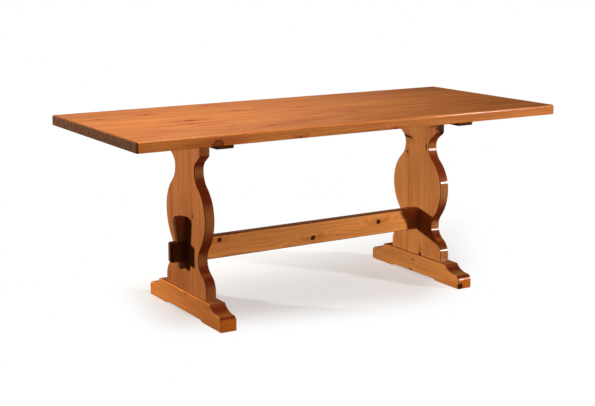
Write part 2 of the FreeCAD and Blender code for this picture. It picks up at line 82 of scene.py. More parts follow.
class Side(Enum):
    """A side of the table, by the way to it along X."""

    LEFT = -1
    RIGHT = 1

    @property
    def label(self) -> str:
        """Give the word for it in the pieces' names."""
        return self.name.lower()

    @property
    def plane(self) -> float:
        """Give the middle plane of its trestle along X."""
        return TRESTLES_MIDDLE + self.value * TRESTLES_HALF_SPACING


class Change(Enum):
    """What one solid does to another."""

    JOIN = "UNION"
    CUT = "DIFFERENCE"


# Shaders.

# The sockets of a Mix node for colours, by number because their names repeat.
SHARE, FIRST, SECOND = 0, 6, 7
COLOURS = {"output": 2, "data_type": "RGBA"}
SMOOTH = {"interpolation_type": "SMOOTHSTEP"}
# Most of a noise's values lie between these.
USUAL = (0.3, 0.7)
# A surface begins to look along an axis, and wholly does, where its part along it is this much.
SLANTED = (0.1, 0.5)
TURNED = (0.5, 0.75)
SQUARE = (0.7, 0.98)


def srgb(code: str) -> tuple[float, float, float, float]:
    """Turn a colour as it looks on a screen into the linear one that shaders take.

    Args:
        code: the colour as "#RRGGBB".

    Returns:
        Its red, green and blue parts in linear light, and full cover.
    """
    parts = [int(code[start:start + 2], 16) / 255 for start in (1, 3, 5)]
    linear = (part / 12.92 if part <= 0.04045 else ((part + 0.055) / 1.055) ** 2.4 for part in parts)
    return *linear, 1.0


def add_node(tree: bpy.types.NodeTree, kind: str, inputs: Sequence | dict = (), output: int | str = 0,
             **settings: object) -> Socket | None:
    """Add a node, with its settings, to a tree and wire it up.

    Args:
        tree: the tree that gets the node.
        kind: Blender's name for the kind of node, without ShaderNode where that is how it begins, and with
            its operation behind a point where it has one.
        inputs: what each input gets, in order or by number or name: a value, a socket or a list of sockets;
            None leaves it as it is.
        output: the output that is wanted, by number or name.
        settings: values of the node's own properties.

    Returns:
        The wanted output, or None where the node has no outputs.
    """
    kind, point, operation = kind.partition(".")
    node = tree.nodes.new(kind if "Node" in kind else f"ShaderNode{kind}")
    if point:
        node.operation = operation
    for name, value in settings.items():
        setattr(node, name, value)
    for key, value in inputs.items() if isinstance(inputs, dict) else enumerate(inputs):
        sources = value if isinstance(value, list) else [value]
        if isinstance(sources[0], Socket):
            for source in sources:
                tree.links.new(source, node.inputs[key])
        elif value is not None:
            node.inputs[key].default_value = value
    return node.outputs[output] if len(node.outputs) else None


def start_tree(owner: bpy.types.Material | bpy.types.World) -> Callable[..., Socket]:
    """Empty the tree of a material or a world.

    Args:
        owner: the material or world.

    Returns:
        A function that adds a node to the tree, as add_node does.
    """
    owner.use_nodes = True
    owner.node_tree.nodes.clear()
    return partial(add_node, owner.node_tree)


@dataclass(frozen=True)
class Knot:
    """A branch that the saw cut through.

    Args:
        at: a point on the branch's axis, in the table's place.
        along: the direction of that axis.
        radius: of the branch.
    """

    at: Place
    along: Place
    radius: float


@dataclass(frozen=True)
class Board:
    """How one board was sawn from its log.

    Args:
        grain: the direction in which the fibres run.
        heart: where the log's heart ran, in the two directions across the grain.
        knots: the branches in it.
        seed: sets its figure apart from the other boards'.
        tone: its lightness beside the other boards; on the battens it is painted shade under the top, and
            between the two trestles it is partly painted light.
        redness: how far the stain turned it red, from 0 to 1.
        fading: how much lighter it is drawn over each metre along the grain; on the stretcher and the feet
            this gradient is painted light.
        sawn: the direction of its faces that are drawn darker and less glossy, if it has any, such as the
            uprights' curved sawn edges; on the wedges' outer faces and the stretcher's upper and lower faces
            the darkening is painted shade.
        faces: the direction that its broad faces look in, if painted light and shade is laid on their
            arrises.
        arrises: the lightness of those arrises beside the faces, for each other direction that they look in:
            below 1 a painted shade line, above 1 a painted highlight.
        end_tone: the lightness of its fibre ends beside the finish's own.
        slant_tone: the lightness of the faces that cut its fibres at a slant beside the finish's own.
        knot_tone: the lightness of its knots beside the finish's own.
        painted_shade_from: how far from the trestles' middle the painted shade on its tenons begins, if it
            has any.
    """

    grain: Axis
    heart: Point
    knots: tuple[Knot, ...] = ()
    seed: float = 0.0
    tone: float = 1.0
    redness: float = 0.2
    fading: float = 0.0
    sawn: Axis | None = None
    faces: Axis | None = None
    arrises: tuple[tuple[Axis, float], ...] = ((Axis.Y, 0.12),)
    end_tone: float = 1.0
    slant_tone: float = 1.0
    knot_tone: float = 1.0
    painted_shade_from: float | None = None


@dataclass(frozen=True)
class VarnishedPine:
    """Scots pine with an orange stain under a satin polyurethane varnish.

    The stain sinks deepest where the saw cut the fibres at a slant, so these faces turn dark red, and the
    fibre ends turn brown. The faces along a board's sawn axis are drawn darker than the planed faces; on the
    wedges' outer faces and the stretcher's upper and lower faces this is painted shade. The varnish gives
    them all a thin clear shine, except for the ends, which drink it in. A mark is a length along the grain
    and a width across it.

    Args:
        name: of the finish.
        earlywood: the pale wood that a tree grows in spring.
        latewood: the dense darker line that ends each year's growth.
        stained_red: what the stain turns both towards in patches.
        slanting: wood whose fibres are cut at a slant.
        fibre_ends: wood cut squarely across its fibres.
        knot_wood: the heart of a knot.
        knot_bark: the thin dark ring round a knot.
        ring_width: width of a year's growth.
        ring_contrast: how much of the latewood's colour shows.
        streak_contrast: how far long streaks are lighter and darker than the rest.
        darkened_side_tone: lightness of the faces along a board's sawn axis beside the planed faces; on the
            wedges and the stretcher this darkening is painted shade.
        coat_roughness: of the varnish.
        coat: how much of the varnish's own shine shows, from 0 to 1.
        end_shine: the share of that shine that the fibre ends keep.
        sawn_shine: the share that the sawn edges keep.
        roughness: of the wood under the varnish, at its smoothest and its roughest.
        end_roughness: what the fibre ends add to that.
        mottle: how far the fibre ends are lighter and darker in spots.
        halo: how much stain the wood round a knot took up, from 0 to 1.
        painted_shade_tone: lightness of the painted shade on the tenons beyond the uprights.
        latewood_sets_in: between these parts of a year its latewood sets in.
        latewood_ends: between these parts it ends.
        luck: how often good and bad years change, as a share of a year, and how much they change.
        wander: mark of the rings' bends.
        wander_depth: of those bends.
        patch: mark of the places where the rings are strong or weak.
        stain: mark of the red patches.
        streak: mark of the light and dark streaks.
        fibre: mark of the fibres, drawn some ten times as wide as they are, so that they show.
        spot: mark of the spots on cut fibres.
        wave: mark of the waves that the planer left.
        wave_height: of those waves.
        fibre_height: of the open fibres.
    """

    name: str
    earlywood: str
    latewood: str
    stained_red: str
    slanting: str
    fibre_ends: str
    knot_wood: str = "#94421E"
    knot_bark: str = "#55210F"
    ring_width: float = 8.0
    ring_contrast: float = 0.2
    streak_contrast: float = 0.12
    darkened_side_tone: float = 0.65
    coat_roughness: float = 0.045
    coat: float = 0.5
    end_shine: float = 0.7
    sawn_shine: float = 0.4
    roughness: Point = (0.50, 0.62)
    end_roughness: float = 0.25
    mottle: float = 0.2
    halo: float = 0.35
    painted_shade_tone: float = 0.3
    latewood_sets_in: Point = (0.15, 0.85)
    latewood_ends: Point = (0.88, 1.0)
    luck: Point = (0.21, 2.6)
    wander: Point = (700.0, 130.0)
    wander_depth: float = 40.0
    patch: Point = (500.0, 60.0)
    stain: Point = (300.0, 45.0)
    streak: Point = (600.0, 11.0)
    fibre: Point = (60.0, 1.6)
    spot: Point = (40.0, 11.0)
    wave: Point = (210.0, 90.0)
    wave_height: float = 0.15
    fibre_height: float = 0.05

    def on_board(self, board: Board, name: str) -> bpy.types.Material:
        """Make the finish's material for one board.

        Args:
            board: how the board was sawn.
            name: of the piece that it is for.

        Returns:
            The material, with its pattern fixed to the table's own place.
        """
        material = bpy.data.materials.new(f"{self.name}_{name}")
        add = start_tree(material)
        add("OutputMaterial", (BoardShader(self, board, add).shader(),))
        return material


@dataclass
class BoardShader:
    """The nodes that draw one board in one finish.

    Args:
        finish: the board's stain and varnish.
        board: how it was sawn.
        add: adds a node to its material.
        knot_wobble: length of the waves in a knot's outline.
        knot_unevenness: height of those waves, in the knot's radii.
        knot_ring: width of a ring in a knot, in its radii.
        knot_bark: between these distances from a knot's axis, in its radii, its bark begins.
        knot_edge: between these distances the knot ends.
        halo_reach: between these distances its halo fades.
        painted_shade_edge: width of the edge where the painted shade on the tenons begins.
    """

    finish: VarnishedPine
    board: Board
    add: Callable[..., Socket]
    knot_wobble: float = 9.0
    knot_unevenness: float = 0.7
    knot_ring: float = 0.22
    knot_bark: Point = (0.7, 0.9)
    knot_edge: Point = (0.95, 1.2)
    halo_reach: Point = (0.7, 2.6)
    painted_shade_edge: float = 3.0

    def __post_init__(self) -> None:
        """Make the patterns that several layers share.

        A place in the wood is one in the log: along the grain, then the two ways across it.
        """
        place = self.add("TexCoord", output="Object")
        self.place = self.add("VectorMath.SCALE", (place, None, None, 1 / MM))
        parts = self.add("SeparateXYZ", (self.place,)).node.outputs
        self.along = parts[self.board.grain.value]
        across = [parts[axis.value] for axis in Axis if axis is not self.board.grain]
        self.wood = self.add("CombineXYZ", (self.along, *across))
        self.near, self.stretched = self._knot_distances()
        self.rings = self._growth_rings()
        self.fibres = self._noise(self.finish.fibre, 2.0, self.board.seed)
        cut = self._facing(self.board.grain)
        self.slant = self.add("MapRange", (cut, *SLANTED), **SMOOTH)
        self.ends = self.add("MapRange", (cut, *SQUARE), **SMOOTH)

    def shader(self) -> Socket:
        """Lay the varnish over the wood.

        Returns:
            The finished surface.
        """
        finish = self.finish
        rough = self.add("MapRange", (self.fibres, *USUAL, *finish.roughness))
        rough = self.add("Math.MULTIPLY_ADD", (self.ends, finish.end_roughness, rough))
        shine = self.add("MapRange", (self.ends, 0.0, 1.0, finish.coat, finish.end_shine * finish.coat))
        if self.board.sawn:
            dry = self.add("MapRange", (self._facing(self.board.sawn), *TURNED, 1.0, finish.sawn_shine))
            shine = self.add("Math.MULTIPLY", (shine, dry))
        return self.add("BsdfPrincipled", {
            "Base Color": self._with_knots(self._with_cut_fibres(self._planed_wood())), "Roughness": rough,
            "Normal": self._relief(), "IOR": 1.45, "Specular IOR Level": 0.06, "Coat Weight": shine,
            "Coat Roughness": finish.coat_roughness, "Coat IOR": 1.5,
        })

    def _facing(self, axis: Axis) -> Socket:
        """Tell how far the surface looks along an axis, either way, from 0 to 1."""
        part = self.add("SeparateXYZ", (self.add("NewGeometry", output="Normal"),), axis.value)
        return self.add("Math.ABSOLUTE", (part,))

    def _noise(self, mark: Point, detail: float, seed: float) -> Socket:
        """Make a cloudy pattern in the wood.

        Args:
            mark: the clouds' length along the grain and their width.
            detail: how finely the clouds are broken up.
            seed: sets the pattern apart from the others.

        Returns:
            The pattern, from 0 to 1.
        """
        along, across = (1 / size for size in mark)
        shift = (seed, seed * 1.7, seed * 2.3)
        scaled = self.add("VectorMath.MULTIPLY_ADD", (self.wood, (along, across, across), shift))
        inputs = {"Vector": scaled, "Scale": 1.0, "Detail": detail, "Roughness": 0.6}
        return self.add("TexNoise", inputs, "Fac")

    def _knot_distances(self) -> tuple[Socket, Socket] | tuple[None, None]:
        """Measure the way to the nearest knot's axis, in its radii.

        Returns:
            The distance, and the same shortened along the grain; None for both where the board has no knots.
        """
        if not self.board.knots:
            return None, None
        inputs = {"Vector": self.place, "Scale": 1 / self.knot_wobble, "Detail": 2.0}
        uneven = self.add("TexNoise", inputs, "Fac")
        shortened = tuple(0.3 if axis is self.board.grain else 1.0 for axis in Axis)
        found = []
        for shares in ((1.0, 1.0, 1.0), shortened):
            nearest = 99.0
            for knot in self.board.knots:
                way = self.add("VectorMath.SUBTRACT", (self.place, knot.at))
                way = self.add("VectorMath.MULTIPLY", (way, shares))
                axis = tuple(Vector(knot.along).normalized() / knot.radius)
                off = self.add("VectorMath.CROSS_PRODUCT", (way, axis))
                length = self.add("VectorMath.LENGTH", (off,), "Value")
                nearest = self.add("Math.MINIMUM", (length, nearest))
            nearest = self.add("Math.SUBTRACT", (nearest, self.knot_unevenness / 2))
            found.append(self.add("Math.MULTIPLY_ADD", (uneven, self.knot_unevenness, nearest)))
        return found[0], found[1]

    def _growth_rings(self) -> Socket:
        """Draw the log's rings, which wander along the grain and bend round the knots.

        Returns:
            0 in earlywood, rising to 1 in latewood.
        """
        finish, board = self.finish, self.board
        heart = (-part for part in board.heart)
        off = self.add("VectorMath.MULTIPLY_ADD", (self.wood, (0, 1, 1), (0, *heart)))
        radius = self.add("VectorMath.LENGTH", (off,), "Value")
        wander = self._noise(finish.wander, 2.0, board.seed)
        radius = self.add("Math.MULTIPLY_ADD", (wander, finish.wander_depth, radius))
        if board.knots:
            bend = self.add("MapRange", (self.stretched, 0.8, 4.0, 1.8 * finish.ring_width, 0.0),
                            interpolation_type="SMOOTHERSTEP")
            radius = self.add("Math.ADD", (radius, bend))
        years = self.add("Math.DIVIDE", (radius, finish.ring_width))
        often, much = finish.luck
        luck = self.add("TexNoise", {"W": years, "Scale": often, "Detail": 1.0}, "Fac", noise_dimensions="1D")
        years = self.add("Math.MULTIPLY_ADD", (luck, much, years))
        season = self.add("Math.FRACT", (years,))
        rise = self.add("MapRange", (season, *finish.latewood_sets_in), **SMOOTH)
        fall = self.add("MapRange", (season, *finish.latewood_ends, 1.0, 0.0))
        return self.add("Math.MULTIPLY", (rise, fall))

    def _planed_wood(self) -> Socket:
        """Mix the colour of planed wood from its rings, patches of stain, streaks, a lightness gradient along
        the grain (painted light on the stretcher and the feet) and fibres.

        Returns:
            The colour.
        """
        finish, board = self.finish, self.board
        contrast, swing = finish.ring_contrast, finish.streak_contrast
        patches = self._noise(finish.patch, 2.0, board.seed + 3)
        amount = self.add("MapRange", (patches, *USUAL, 0.5 * contrast, 1.5 * contrast))
        amount = self.add("Math.MULTIPLY", (self.rings, amount))
        early, late = srgb(finish.earlywood), srgb(finish.latewood)
        colour = self.add("Mix", {SHARE: amount, FIRST: early, SECOND: late}, **COLOURS)
        stain = self._noise(finish.stain, 3.0, board.seed + 7)
        stain = self.add("MapRange", (stain, 0.4, 0.8, 0.0, board.redness + 0.3))
        colour = self.add("Mix", {SHARE: stain, FIRST: colour, SECOND: srgb(finish.stained_red)}, **COLOURS)
        streaks = self._noise(finish.streak, 3.0, board.seed + 5)
        light = self.add("MapRange", (streaks, *USUAL, (1 - swing) * board.tone, (1 + swing) * board.tone))
        tones = [self.add("MapRange", (self.fibres, *USUAL, 0.92, 1.08))]
        # A lightness gradient along the grain: painted light on the stretcher and the feet.
        if board.fading:
            half = 0.5 * board.fading
            tones.append(self.add("MapRange", (self.along, -0.5 / MM, 0.5 / MM, 1 - half, 1 + half)))
        for tone in tones:
            light = self.add("Math.MULTIPLY", (light, tone))
        return self.add("VectorMath.SCALE", (colour, None, None, light))

    def _with_cut_fibres(self, colour: Socket) -> Socket:
        """Darken the faces along the sawn axis, lay painted shade and painted highlights on the arrises and
        painted shade on the tenons, and colour the faces cut across the fibres, where the stain sank in.

        Args:
            colour: of the planed wood.

        Returns:
            The colour of the whole piece.
        """
        finish, board = self.finish, self.board
        tones = []
        # The faces along the sawn axis are drawn darker: painted shade on the wedges and the stretcher.
        if board.sawn:
            tone = self.add("MapRange", (self.rings, 0.0, 1.0, finish.darkened_side_tone, 0.75 * finish.darkened_side_tone))
            tones.append(self.add("MapRange", (self._facing(board.sawn), *TURNED, 1.0, tone)))
        # Painted shade: the tenons beyond the uprights are drawn dark, as they stand in shadow.
        if board.painted_shade_from:
            off = self.add("Math.ADD", (self.along, -TRESTLES_MIDDLE))
            off = self.add("Math.ABSOLUTE", (off,))
            edge = (board.painted_shade_from, board.painted_shade_from + self.painted_shade_edge)
            tones.append(self.add("MapRange", (off, *edge, 1.0, finish.painted_shade_tone)))
        # Painted shade lines and painted highlights along the arrises round the broad faces.
        if board.faces:
            size = self._facing(board.faces)
            rise = self.add("MapRange", (size, 0.1, 0.3))
            fall = self.add("MapRange", (size, 0.93, 0.99, 1.0, 0.0))
            arris = self.add("Math.MULTIPLY", (rise, fall))
            for axis, own_tone in board.arrises:
                share = self.add("MapRange", (self._facing(axis), 0.15, 0.5))
                share = self.add("Math.MULTIPLY", (arris, share))
                tones.append(self.add("MapRange", (share, 0.0, 1.0, 1.0, own_tone)))
        for tone in tones:
            colour = self.add("VectorMath.SCALE", (colour, None, None, tone))
        spots = self._noise(finish.spot, 3.0, board.seed + 9)
        spots = self.add("Math.MULTIPLY_ADD", (self.rings, -0.2, spots))
        spots = self.add("MapRange", (spots, 0.2, 0.6, 1 - finish.mottle, 1 + finish.mottle))
        for share, code, tone in ((self.slant, finish.slanting, board.slant_tone),
                                  (self.ends, finish.fibre_ends, board.end_tone)):
            dark = tuple(part * tone for part in srgb(code)[:3])
            dark = self.add("VectorMath.SCALE", (dark, None, None, spots))
            colour = self.add("Mix", {SHARE: share, FIRST: colour, SECOND: dark}, **COLOURS)
        return colour

    def _with_knots(self, colour: Socket) -> Socket:
        """Lay the knots over the wood: a long reddish halo, a thin bark ring and a ringed heart.

        Args:
            colour: of the wood without knots.

        Returns:
            Its colour with them.
        """
        if not self.board.knots:
            return colour
        finish = self.finish
        halo = self.add("MapRange", (self.stretched, *self.halo_reach, finish.halo, 0.0), **SMOOTH)
        colour = self.add("Mix", {SHARE: halo, FIRST: colour, SECOND: srgb(finish.stained_red)}, **COLOURS)
        ring = self.add("Math.PINGPONG", (self.near, self.knot_ring))
        ring = self.add("MapRange", (ring, 0.0, self.knot_ring, 0.0, 0.7))
        rim = self.add("MapRange", (self.near, *self.knot_bark, 0.0, 1.0))
        dark = self.add("Math.MAXIMUM", (ring, rim))
        wood, bark = srgb(finish.knot_wood), srgb(finish.knot_bark)
        heart = self.add("Mix", {SHARE: dark, FIRST: wood, SECOND: bark}, **COLOURS)
        heart = self.add("VectorMath.SCALE", (heart, None, None, self.board.knot_tone))
        inside = self.add("MapRange", (self.near, *self.knot_edge, 1.0, 0.0))
        return self.add("Mix", {SHARE: inside, FIRST: colour, SECOND: heart}, **COLOURS)

    def _relief(self) -> Socket:
        """Give the surface its faint planed waves, its raised latewood and its open fibres.

        Returns:
            The direction that the surface looks in.
        """
        finish = self.finish
        waves = self._noise(finish.wave, 1.0, 3.0)
        waves = self.add("Bump", {"Strength": 1.0, "Distance": finish.wave_height * MM, "Height": waves})
        height = self.add("Math.MULTIPLY_ADD", (self.rings, 0.5, self.fibres))
        return self.add("Bump", {"Strength": 0.5, "Distance": finish.fibre_height * MM, "Height": height,
                                 "Normal": waves})


@dataclass(frozen=True)
class ZincPlatedSteel:
    """Bright zinc over turned steel, clouded by handling, so that it looks neither painted nor polished.

    Args:
        zinc: the plating's colour.
        clouded: the same where handling dulled it.
        cloud: the size of the clouds.
    """

    zinc: str = "#C9C6BC"
    clouded: str = "#8D8A80"
    cloud: float = 1 / 0.7

    def material(self) -> bpy.types.Material:
        """Make the finish's material.

        Returns:
            The material.
        """
        material = bpy.data.materials.new("zinc_plated_steel")
        add = start_tree(material)
        place = add("TexCoord", output="Object")
        clouds = add("TexNoise", {"Vector": place, "Scale": 1 / (self.cloud * MM), "Detail": 3.0}, "Fac")
        colour = add("Mix", {SHARE: clouds, FIRST: srgb(self.clouded), SECOND: srgb(self.zinc)}, **COLOURS)
        rough = add("MapRange", (clouds, *USUAL, 0.28, 0.5))
        bump = add("Bump", {"Strength": 0.3, "Distance": 0.05 * MM, "Height": clouds})
        inputs = {"Base Color": colour, "Metallic": 1.0, "Roughness": rough, "Normal": bump}
        add("OutputMaterial", (add("BsdfPrincipled", inputs),))
        return material


# Golden wood with strong rings and streaks, whose spotted ends and soft shine show that the top is used.
TOP_FINISH = VarnishedPine(
    "honey_stained_pine", "#DF853C", "#B75B22", "#B04A16", "#8A4A22", "#684024", "#B4561E", "#8A3A14",
    ring_contrast=0.34, streak_contrast=0.15, coat=0.4, coat_roughness=0.13, mottle=0.7, halo=0.6)
# Quiet reddish wood with bright ends, which the light from the left makes glow.
AMBER_FINISH = VarnishedPine(
    "amber_stained_pine", "#DA8038", "#B05822", "#A84A18", "#7E2F12", "#C86820", ring_contrast=0.16)
# The same from a yellower log.
STRAW_FINISH = replace(AMBER_FINISH, name="straw_stained_pine", earlywood="#DA8A45")
# The same again, with narrow strong rings that run along the stretcher as fine lines.
RAIL_FINISH = replace(
    STRAW_FINISH, name="straw_stained_narrow_ringed_pine", ring_width=6.0, ring_contrast=0.3)
# Brown wood whose faces along X are drawn dark: painted shade on the wedges' outer faces, which stand in
# shadow.
WEDGE_FINISH = VarnishedPine(
    "brown_stained_pine", "#A86C40", "#824E2C", "#84451F", "#5E2C14", "#5C3018", darkened_side_tone=0.3, coat=0.25)


# Meshes.

def arc(start: Point, end: Point, centre_up: float | None = None, centre_across: float | None = None,
        steps: int = 14) -> list[Point]:
    """Draw the shorter arc between two points whose centre lies on a level or on an upright line.

    Args:
        start: where the arc begins.
        end: where it ends.
        centre_up: the level that the centre is on, if it is given.
        centre_across: the upright line that the centre is on, otherwise.
        steps: the number of chords.

    Returns:
        The arc's points without the last, so that arcs and corners can follow each other.
    """
    (x0, y0), (x1, y1) = start, end
    middle_x, middle_y = (x0 + x1) / 2, (y0 + y1) / 2
    if centre_up is not None:
        centre = (middle_x - (centre_up - middle_y) * (y1 - y0) / (x1 - x0), centre_up)
    else:
        centre = (centre_across, middle_y - (centre_across - middle_x) * (x1 - x0) / (y1 - y0))
    radius = math.dist(start, centre)
    first = math.atan2(y0 - centre[1], x0 - centre[0])
    turn = math.remainder(math.atan2(y1 - centre[1], x1 - centre[0]) - first, math.tau)
    angles = [first + turn * step / steps for step in range(steps)]
    return [(centre[0] + radius * math.cos(angle), centre[1] + radius * math.sin(angle)) for angle in angles]


def s_curve(start: Point, end: Point, turn_share: float) -> list[Point]:
    """Draw two arcs that meet between two stations of an outline, each upright at its own station."""
    turn = tuple(a + turn_share * (b - a) for a, b in zip(start, end))
    return arc(start, turn, start[1]) + arc(turn, end, end[1])


def prism(outline: Sequence[Point], axis: Axis, low: float, high: float) -> Solid:
    """Stretch a closed outline along an axis into a solid.

    Args:
        outline: its points in the two other directions, in their usual order.
        axis: the direction of stretching.
        low: where the solid begins on that axis.
        high: where it ends.

    Returns:
        A closed mesh with its faces pointing outwards.
    """
    mesh = bmesh.new()
    bottom, top = ([mesh.verts.new((*point[:axis.value], level, *point[axis.value:])) for point in outline]
                   for level in (low, high))
    mesh.faces.new(bottom)
    mesh.faces.new(top)
    for index in range(len(outline)):
        after = (index + 1) % len(outline)
        mesh.faces.new((bottom[index], bottom[after], top[after], top[index]))
    bmesh.ops.recalc_face_normals(mesh, faces=mesh.faces)
    return mesh


def block(low: Place, high: Place) -> Solid:
    """Make a block between two corners."""
    (x0, y0, z0), (x1, y1, z1) = low, high
    return prism([(y0, z0), (y1, z0), (y1, z1), (y0, z1)], Axis.X, x0, x1)


def round_edges(mesh: Solid, radius: float, wanted: Callable[[Vector], bool], steps: int = 3) -> None:
    """Round some of a solid's sharp edges.

    Args:
        mesh: the solid.
        radius: of the rounding.
        wanted: tells from an edge's middle point whether it is rounded.
        steps: the number of faces across the rounding.
    """
    edges = [edge for edge in mesh.edges
             if len(edge.link_faces) == 2 and edge.calc_face_angle() > SHARP_ANGLE
             and wanted((edge.verts[0].co + edge.verts[1].co) / 2)]
    bmesh.ops.bevel(mesh, geom=edges, offset=radius, segments=steps, profile=0.5, affect="EDGES",
                    clamp_overlap=True)


def mesh_data(mesh: Solid, name: str) -> bpy.types.Mesh:
    """Turn a solid into a mesh that an object can show.

    Args:
        mesh: the solid; it is used up.
        name: of the new mesh.

    Returns:
        The new mesh.
    """
    data = bpy.data.meshes.new(name)
    mesh.to_mesh(data)
    mesh.free()
    return data


def new_object(name: str, data: bpy.types.ID) -> bpy.types.Object:
    """Put an object into the scene.

    Args:
        name: of the object.
        data: the mesh, light or camera that it shows.

    Returns:
        The object.
    """
    made = bpy.data.objects.new(name, data)
    bpy.context.scene.collection.objects.link(made)
    return made


def after_modifiers(thing: bpy.types.Object) -> bpy.types.Mesh:
    """Make a plain mesh of what an object's modifiers give."""
    return bpy.data.meshes.new_from_object(thing.evaluated_get(bpy.context.evaluated_depsgraph_get()))


def combine(first: Solid, second: Solid, change: Change) -> Solid:
    """Join, or cut away, one solid and another.

    Args:
        first: the solid that is added to or cut; it is used up.
        second: the solid that is added or taken away; it is used up.
        change: what the second does to the first.

    Returns:
        The new solid.
    """
    target, tool = (new_object("work", mesh_data(mesh, "work")) for mesh in (first, second))
    maker = target.modifiers.new("change", "BOOLEAN")
    maker.operation, maker.object, maker.solver = change.value, tool, "EXACT"
    made = after_modifiers(target)
    result = bmesh.new()
    result.from_mesh(made)
    for used in (made, target.data, tool.data):
        bpy.data.meshes.remove(used)
    return result


def declare(piece: bpy.types.Object, node: str, body: str = "table") -> None:
    """Say what a finished piece stands for.

    Args:
        piece: its object.
        node: the node that it replaces.
        body: the body that it moves with.
    """
    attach(piece, body)
    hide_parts(node)
    log.info("%s: %d faces", node, len(piece.data.polygons))


def finish_piece(mesh: Solid, name: str, material: bpy.types.Material,
                 body: str = "table") -> None:
    """Turn a solid in millimetres into a piece that stands for its node.

    Args:
        mesh: the piece's shape; it is used up.
        name: of the node that it stands for.
        material: its finish.
        body: the body that it moves with.
    """
    bmesh.ops.scale(mesh, vec=(MM, MM, MM), verts=mesh.verts)
    for face in mesh.faces:
        face.smooth = True
    for edge in mesh.edges:
        edge.smooth = len(edge.link_faces) == 2 and edge.calc_face_angle() < SMOOTH_ANGLE
    piece = new_object(f"{name}_dressed", mesh_data(mesh, name))
    piece.data.materials.append(material)
    shading = piece.modifiers.new("flat faces stay flat", "WEIGHTED_NORMAL")
    shading.keep_sharp = True
    declare(piece, name, body)


# Sub-assemblies.

@dataclass
class TableTop:
    """The top, of boards glued edge to edge.

    Args:
        length: of the top.
        width: of the top.
        thickness: of its boards.
        height: of its upper face.
        corner_radius: of its four corners, seen from above.
        upper_radius: rounding of its upper arris.
        lower_radius: rounding of its lower arris.
        boards: how each board was sawn, from the front.
    """

    length: float = 2000.0
    width: float = 870.0
    thickness: float = 42.0
    height: float = 800.0
    corner_radius: float = 10.0
    upper_radius: float = 7.0
    lower_radius: float = 3.0
    boards: tuple[Board, ...] = (
        # This board's front arrises are drawn lighter: a painted highlight.
        Board(Axis.X, (-330, 560), (
            Knot((-672, -435, 764), (0.9, 1, 0.1), 17), Knot((-314, -435, 762), (0, 1, 0), 6),
            Knot((140, -435, 759), (0.5, 1, 0), 7), Knot((-365, -305, 800), (0, 0.1, 1), 8),
        ), seed=1.3, tone=0.96, faces=Axis.Z, arrises=((Axis.Y, 1.2),), knot_tone=0.7),
        Board(Axis.X, (-180, 990), (
            Knot((-620, -103, 800), (0, 0.3, 1), 9), Knot((120, -150, 800), (0, 0.3, 1), 5),
        ), seed=2.9, tone=0.97, redness=0.3),
        Board(Axis.X, (60, 520), (Knot((-588, -30, 800), (0.6, 0.1, 1), 18),), seed=4.1, tone=1.02),
        Board(Axis.X, (90, 1040), (
            Knot((-662, 235, 800), (0, 0, 1), 12), Knot((-278, 145, 800), (0, 0.1, 1), 11),
            Knot((-887, 195, 800), (0, 0, 1), 9), Knot((30, 97, 800), (0, 0.1, 1), 9),
        ), seed=5.7, tone=0.98),
        Board(Axis.X, (380, 590), (
            Knot((-300, 370, 800), (0, -0.2, 1), 10), Knot((-691, 415, 800), (0, 0, 1), 8),
        ), seed=7.2, tone=0.88, redness=0.1),
    )

    def build(self) -> None:
        """Build the boards, rounded at their ends and along the top's own sides."""
        board_width = self.width / len(self.boards)
        for index, board in enumerate(self.boards):
            low = -self.width / 2 + index * board_width
            name = f"top_board_{index + 1}"
            mesh = self._board(low, low + board_width, {0: -1, len(self.boards) - 1: 1}.get(index, 0))
            finish_piece(mesh, name, TOP_FINISH.on_board(board, name))

    def _board(self, low: float, high: float, free_side: int) -> Solid:
        """Shape the board between two places across the top.

        Args:
            low: its front side.
            high: its back side.
            free_side: -1 or 1 for the side that is the top's own, or 0.

        Returns:
            The board's mesh.
        """
        end, side = self.length / 2, self.width / 2
        under, middle = self.height - self.thickness, self.height - self.thickness / 2
        rim = 0.9 * self.corner_radius
        mesh = block((-end, low, under), (end, high, self.height))
        if free_side:
            round_edges(mesh, self.corner_radius,
                        lambda at: abs(at.z - middle) < CLOSE and at.y * free_side > side - CLOSE, steps=7)

        def on_rim(at: Vector) -> bool:
            """Tell whether a place is on the top's ends or its own sides."""
            return abs(at.x) > end - rim or at.y * free_side > side - rim

        round_edges(mesh, self.upper_radius, lambda at: at.z > self.height - CLOSE and on_rim(at), steps=6)
        round_edges(mesh, self.lower_radius, lambda at: at.z < under + CLOSE and on_rim(at))
        return mesh


